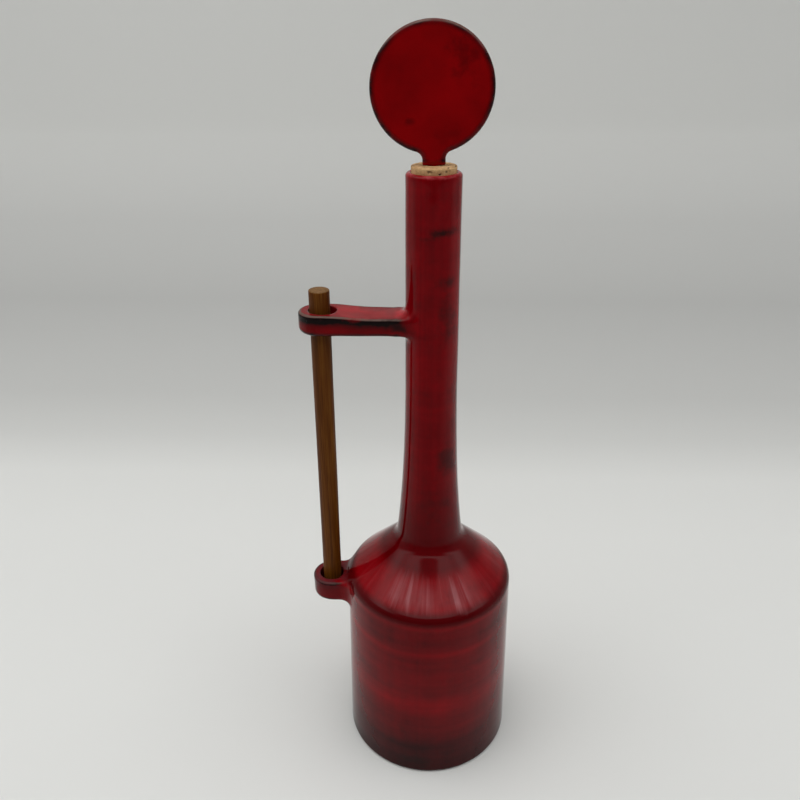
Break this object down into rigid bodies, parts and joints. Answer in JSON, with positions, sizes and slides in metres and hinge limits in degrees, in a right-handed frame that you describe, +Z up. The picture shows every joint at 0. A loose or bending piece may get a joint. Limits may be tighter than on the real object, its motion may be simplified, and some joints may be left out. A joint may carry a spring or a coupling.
{
  "type": "ceramic bottle",
  "caption": "Tall glazed ceramic bottle with a long neck, a wooden dowel grip held by an arm and a lug, and a cork under a flat round disc stopper.",
  "frame": {"origin": "centre of the flat base, on the bottle's own axis", "axes": "+Z up along the axis of body and neck; the handle points to -X; the stopper's broad face looks to -Y"},
  "size_m": [0.1244, 0.1036, 0.4296],
  "materials": {
    "body_glaze": "glossy deep red glaze that breaks dark on its edges",
    "stopper_glaze": "glossy dark red glaze with a near-black rim",
    "grip_wood": "oiled brown wood with straight fine grain",
    "cork": "natural tan cork with dark pores"
  },
  "bodies": {
    "root": {"bottle": "body_glaze", "handle_dowel": "grip_wood", "cork": "cork", "stopper_disc": "stopper_glaze"}
  },
  "joints": []
}
